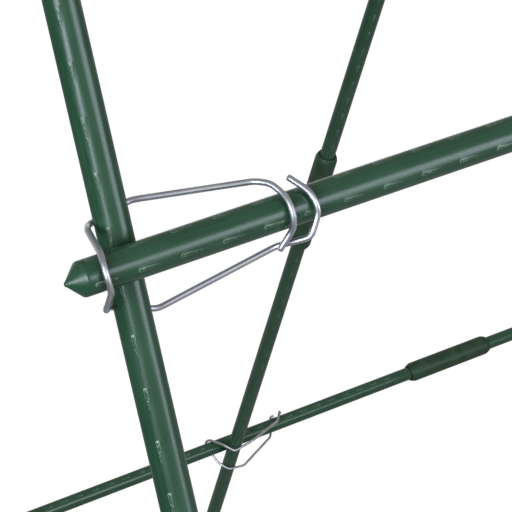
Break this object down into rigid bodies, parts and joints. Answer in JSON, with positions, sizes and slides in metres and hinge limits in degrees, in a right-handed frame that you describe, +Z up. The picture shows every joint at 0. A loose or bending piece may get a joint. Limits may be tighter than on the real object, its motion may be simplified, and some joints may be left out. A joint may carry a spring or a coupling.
{
  "type": "climbing plant stand",
  "caption": "A-frame stand for climbing plants: green coated steel stakes with pointed ends, joined end to end by sleeves and held at each crossing by bent wire clips.",
  "frame": {"origin": "on the ground, under the middle of the ridge rail", "axes": "+X along the rails, +Y towards the rear face's feet, +Z up"},
  "size_m": [1.3632, 1.6434, 2.1416],
  "materials": {
    "green_coat": "semi-gloss dark green plastic coat on steel tube",
    "sleeve_green": "satin green moulded plastic",
    "zinc_wire": "bright zinc-plated spring wire"
  },
  "bodies": {
    "front_frame": {"front_leg_left_upper": "green_coat", "front_leg_left_lower": "green_coat", "front_leg_left_sleeve": "sleeve_green", "front_leg_middle_upper": "green_coat", "front_leg_middle_lower": "green_coat", "front_leg_middle_sleeve": "sleeve_green", "front_leg_right_upper": "green_coat", "front_leg_right_lower": "green_coat", "front_leg_right_sleeve": "sleeve_green", "ridge_rail_centre": "green_coat", "ridge_rail_end_left": "green_coat", "ridge_rail_end_right": "green_coat", "ridge_rail_sleeve_left": "sleeve_green", "ridge_rail_sleeve_right": "sleeve_green", "ridge_clip_left": "zinc_wire", "ridge_clip_right": "zinc_wire"},
    "rear_frame": {"rear_leg_left_upper": "green_coat", "rear_leg_left_lower": "green_coat", "rear_leg_left_sleeve": "sleeve_green", "rear_leg_middle_upper": "green_coat", "rear_leg_middle_lower": "green_coat", "rear_leg_middle_sleeve": "sleeve_green", "rear_leg_right_upper": "green_coat", "rear_leg_right_lower": "green_coat", "rear_leg_right_sleeve": "sleeve_green", "ridge_clip_middle": "zinc_wire"},
    "front_upper_rail": {"front_upper_rail_centre": "green_coat", "front_upper_rail_end_left": "green_coat", "front_upper_rail_end_right": "green_coat", "front_upper_rail_sleeve_left": "sleeve_green", "front_upper_rail_sleeve_right": "sleeve_green", "front_upper_clip_left": "zinc_wire", "front_upper_clip_middle": "zinc_wire", "front_upper_clip_right": "zinc_wire"},
    "front_lower_rail": {"front_lower_rail_centre": "green_coat", "front_lower_rail_end_left": "green_coat", "front_lower_rail_end_right": "green_coat", "front_lower_rail_sleeve_left": "sleeve_green", "front_lower_rail_sleeve_right": "sleeve_green", "front_lower_clip_left": "zinc_wire", "front_lower_clip_middle": "zinc_wire", "front_lower_clip_right": "zinc_wire"},
    "rear_upper_rail": {"rear_upper_rail_centre": "green_coat", "rear_upper_rail_end_left": "green_coat", "rear_upper_rail_end_right": "green_coat", "rear_upper_rail_sleeve_left": "sleeve_green", "rear_upper_rail_sleeve_right": "sleeve_green", "rear_upper_clip_left": "zinc_wire", "rear_upper_clip_middle": "zinc_wire", "rear_upper_clip_right": "zinc_wire"},
    "rear_lower_rail": {"rear_lower_rail_centre": "green_coat", "rear_lower_rail_end_left": "green_coat", "rear_lower_rail_end_right": "green_coat", "rear_lower_rail_sleeve_left": "sleeve_green", "rear_lower_rail_sleeve_right": "sleeve_green", "rear_lower_clip_left": "zinc_wire", "rear_lower_clip_middle": "zinc_wire", "rear_lower_clip_right": "zinc_wire"}
  },
  "joints": [
    {"name": "frame_fold", "type": "hinge", "parent": "front_frame", "child": "rear_frame", "pos_m": [0, 0, 2.10734], "axis": [1, 0, 0], "range_deg": [-33, 8]},
    {"name": "front_upper_rail_slide", "type": "slide", "parent": "front_frame", "child": "front_upper_rail", "axis": [0, 0.3665, 0.9304], "range_m": [-0.55, 0.5]},
    {"name": "front_lower_rail_slide", "type": "slide", "parent": "front_frame", "child": "front_lower_rail", "axis": [0, 0.3665, 0.9304], "range_m": [-0.36, 0.23]},
    {"name": "rear_upper_rail_slide", "type": "slide", "parent": "rear_frame", "child": "rear_upper_rail", "axis": [0, -0.3665, 0.9304], "range_m": [-0.55, 0.5]},
    {"name": "rear_lower_rail_slide", "type": "slide", "parent": "rear_frame", "child": "rear_lower_rail", "axis": [0, -0.3665, 0.9304], "range_m": [-0.36, 0.23]}
  ]
}
